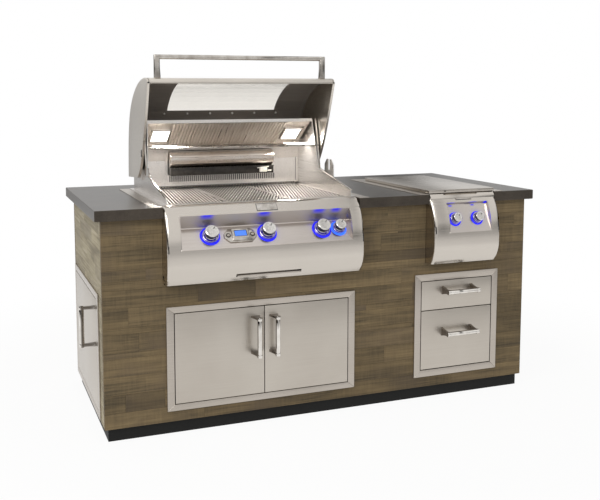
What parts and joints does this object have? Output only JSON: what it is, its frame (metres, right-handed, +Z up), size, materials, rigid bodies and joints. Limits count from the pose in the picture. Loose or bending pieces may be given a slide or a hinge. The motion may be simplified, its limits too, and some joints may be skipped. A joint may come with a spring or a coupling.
{
  "type": "outdoor kitchen island",
  "caption": "Plank-clad outdoor kitchen island with a stone worktop, built-in gas grill with raised hood, covered side burner, double doors, drawers and an end door.",
  "frame": {"origin": "middle of the base on the floor, under the centre of the clad cabinet", "axes": "+X right along the front, +Y to the back, +Z up"},
  "size_m": [2.0153, 0.9394, 1.511],
  "materials": {
    "planks": "matte weathered wood-look planks",
    "pale_planks": "matte weathered wood-look planks, lit side",
    "kick": "matte black",
    "stone": "honed grey slab",
    "frame_steel": "mill finish",
    "steel": "fine brushed",
    "bright_steel": "polished",
    "dark_liner": "darkened by heat",
    "glass": "clear curved pane",
    "cast_iron": "dark cast",
    "screen": "lit blue screen",
    "lens": "frosted lamp lens"
  },
  "bodies": {
    "island": {"plinth": "kick", "cabinet_frame": "frame_steel", "front_cladding": "planks", "rear_cladding": "planks", "right_cladding": "planks", "left_cladding": "pale_planks", "countertop": "stone", "grill_liner": "bright_steel", "firebox": "steel", "rear_housing": "steel", "reflector_panel": "bright_steel", "lamp_left": "lens", "lamp_right": "lens", "back_burner": "bright_steel", "warming_rack": "bright_steel", "main_burner_1": "cast_iron", "main_burner_2": "cast_iron", "main_burner_3": "cast_iron", "flavor_plate": "steel", "cooking_grate_1": "bright_steel", "cooking_grate_2": "bright_steel", "cooking_grate_3": "bright_steel", "grill_panel": "steel", "grill_fascia": "bright_steel", "gas_manifold": "frame_steel", "display_housing": "bright_steel", "display_screen": "screen", "side_liner": "bright_steel", "side_burner_box": "steel", "side_burner_pair": "cast_iron", "side_grate": "cast_iron", "side_panel": "steel", "side_fascia": "bright_steel", "access_door_frame": "steel", "drawer_frame": "steel", "end_door_frame": "steel"},
    "hood": {"hood_shell": "steel", "hood_liner": "dark_liner", "hood_window": "glass", "hood_handle": "bright_steel"},
    "access_door_left_body": {"access_door_left": "steel", "access_handle_left": "bright_steel"},
    "access_door_right_body": {"access_door_right": "steel", "access_handle_right": "bright_steel"},
    "end_door_body": {"end_door": "steel", "end_door_pull": "bright_steel"},
    "drawer_lower_body": {"drawer_lower": "steel", "drawer_pull_lower": "bright_steel"},
    "drawer_upper_body": {"drawer_upper": "steel", "drawer_pull_upper": "bright_steel"},
    "drip_tray_body": {"drip_tray": "steel"},
    "knob_1_body": {"burner_knob_1": "bright_steel"},
    "knob_2_body": {"burner_knob_2": "bright_steel"},
    "knob_3_body": {"burner_knob_3": "bright_steel"},
    "rear_knob_body": {"rear_burner_knob": "bright_steel"},
    "side_knob_1_body": {"side_knob_1": "bright_steel"},
    "side_knob_2_body": {"side_knob_2": "bright_steel"},
    "button_left_body": {"display_button_left": "steel"},
    "button_right_body": {"display_button_right": "steel"},
    "side_cover_body": {"side_cover": "steel"}
  },
  "joints": [
    {"name": "hood_hinge", "type": "hinge", "parent": "island", "child": "hood", "pos_m": [-0.304, 0.07, 1.008], "axis": [1, 0, 0], "range_deg": [0, 67.5]},
    {"name": "access_left_hinge", "type": "hinge", "parent": "island", "child": "access_door_left_body", "pos_m": [-0.671, -0.3883, 0.3065], "axis": [0, 0, -1], "range_deg": [0, 110]},
    {"name": "access_right_hinge", "type": "hinge", "parent": "island", "child": "access_door_right_body", "pos_m": [0.063, -0.3883, 0.3065], "axis": [0, 0, 1], "range_deg": [0, 110]},
    {"name": "end_door_hinge", "type": "hinge", "parent": "island", "child": "end_door_body", "pos_m": [-0.9603, 0.309, 0.318], "axis": [0, 0, -1], "range_deg": [0, 110]},
    {"name": "drawer_lower_slide", "type": "slide", "parent": "island", "child": "drawer_lower_body", "axis": [0, -1, 0], "range_m": [0, 0.4]},
    {"name": "drawer_upper_slide", "type": "slide", "parent": "island", "child": "drawer_upper_body", "axis": [0, -1, 0], "range_m": [0, 0.4]},
    {"name": "drip_tray_slide", "type": "slide", "parent": "island", "child": "drip_tray_body", "axis": [0, -1, 0], "range_m": [0, 0.28]},
    {"name": "side_cover_hinge", "type": "hinge", "parent": "island", "child": "side_cover_body", "pos_m": [0.612, 0.217, 0.9246], "axis": [-1, 0, 0], "range_deg": [0, 100]},
    {"name": "knob_1_turn", "type": "hinge", "parent": "island", "child": "knob_1_body", "pos_m": [-0.539, -0.42581, 0.79734], "axis": [0, -0.7431, 0.6691], "range_deg": [0, 225]},
    {"name": "knob_2_turn", "type": "hinge", "parent": "island", "child": "knob_2_body", "pos_m": [-0.30199, -0.42581, 0.79734], "axis": [0, -0.7431, 0.6691], "range_deg": [0, 225]},
    {"name": "knob_3_turn", "type": "hinge", "parent": "island", "child": "knob_3_body", "pos_m": [-0.06398, -0.42581, 0.79734], "axis": [0, -0.7431, 0.6691], "range_deg": [0, 225]},
    {"name": "rear_knob_turn", "type": "hinge", "parent": "island", "child": "rear_knob_body", "pos_m": [0.01201, -0.42581, 0.79734], "axis": [0, -0.7431, 0.6691], "range_deg": [0, 225]},
    {"name": "side_knob_1_turn", "type": "hinge", "parent": "island", "child": "side_knob_1_body", "pos_m": [0.558, -0.44416, 0.80875], "axis": [0, -0.9272, 0.3746], "range_deg": [0, 225]},
    {"name": "side_knob_2_turn", "type": "hinge", "parent": "island", "child": "side_knob_2_body", "pos_m": [0.67, -0.44416, 0.80875], "axis": [0, -0.9272, 0.3746], "range_deg": [0, 225]},
    {"name": "button_left_press", "type": "slide", "parent": "island", "child": "button_left_body", "axis": [0, 0.7431, -0.6691], "range_m": [0, 0.0018], "stiffness_N_per_m": 500},
    {"name": "button_right_press", "type": "slide", "parent": "island", "child": "button_right_body", "axis": [0, 0.7431, -0.6691], "range_m": [0, 0.0018], "stiffness_N_per_m": 500}
  ]
}
